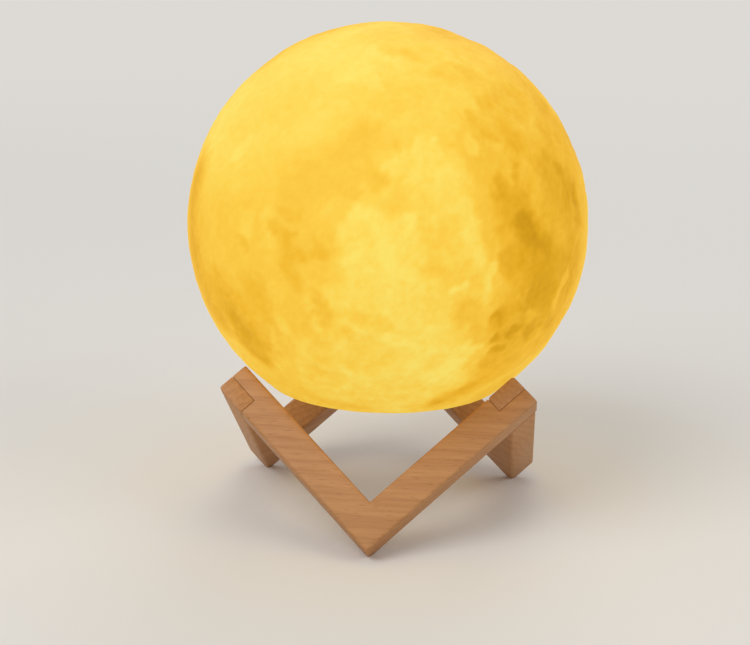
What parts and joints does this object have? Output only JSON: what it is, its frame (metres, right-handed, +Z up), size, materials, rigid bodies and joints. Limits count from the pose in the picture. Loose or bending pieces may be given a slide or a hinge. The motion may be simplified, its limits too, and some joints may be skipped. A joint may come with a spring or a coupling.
{
  "type": "moon lamp",
  "caption": "Rechargeable moon globe lamp with a push-button base, resting loose in a three-legged zigzag wooden cradle.",
  "frame": {"origin": "on the table, under the centre of the globe and of the three feet", "axes": "+Z up, -Y towards the front, where one leg's corner points at the viewer, +X to the viewer's right"},
  "size_m": [0.15, 0.15, 0.1848],
  "materials": {
    "wood": "planed warm beech, clear matt oil, edges eased",
    "moon_print": "printed translucent white plastic, lit warm from inside, soft relief",
    "white_plastic": "fine moulded texture",
    "button_plastic": "smooth, slightly dished",
    "plated_trim": "satin plated",
    "steel": "zinc plated",
    "lens_plastic": "clear, moulded",
    "black_plastic": "moulded",
    "circuit_board": "solder mask",
    "ferrite": "dull grey",
    "capacitor_can": "bright",
    "foam": "fine open cells",
    "cell_foil": "laminated foil",
    "guard_tape": "amber film tape",
    "connector_plastic": "moulded nylon",
    "wire_red": "smooth",
    "wire_black": "smooth",
    "light_board": "white solder mask on aluminium",
    "light_chip": "phosphor gel in a white cup",
    "diffuser_plastic": "opal"
  },
  "bodies": {
    "stand": {"leg_front": "wood", "leg_right": "wood", "leg_left": "wood"},
    "globe": {"moon_shell": "moon_print", "base_housing": "white_plastic", "trim_ring": "plated_trim", "switch_body": "black_plastic", "indicator_lens": "lens_plastic", "indicator_led": "light_chip", "socket_shell": "steel", "socket_insulator": "black_plastic", "control_board": "circuit_board", "board_screws": "steel", "control_chips": "black_plastic", "inductor": "ferrite", "capacitors": "capacitor_can", "battery_pad": "foam", "battery": "cell_foil", "battery_guard": "guard_tape", "battery_header": "connector_plastic", "battery_plug": "connector_plastic", "battery_wire_red": "wire_red", "battery_wire_black": "wire_black", "light_wire_red": "wire_red", "light_wire_black": "wire_black", "base_cover": "white_plastic", "cover_screws": "steel", "light_board": "light_board", "light_screws": "steel", "light_chips": "light_chip", "diffuser": "diffuser_plastic"},
    "button": {"power_button": "button_plastic", "switch_plunger": "black_plastic"}
  },
  "joints": [
    {"name": "globe_turn", "type": "hinge", "parent": "stand", "child": "globe", "pos_m": [0, 0, 0.1098], "axis": [0, 0, 1], "continuous": true},
    {"name": "button_press", "type": "slide", "parent": "globe", "child": "button", "axis": [0, 0, 1], "range_m": [0, 0.0005], "stiffness_N_per_m": 1500, "springref_m": -0.0006}
  ]
}
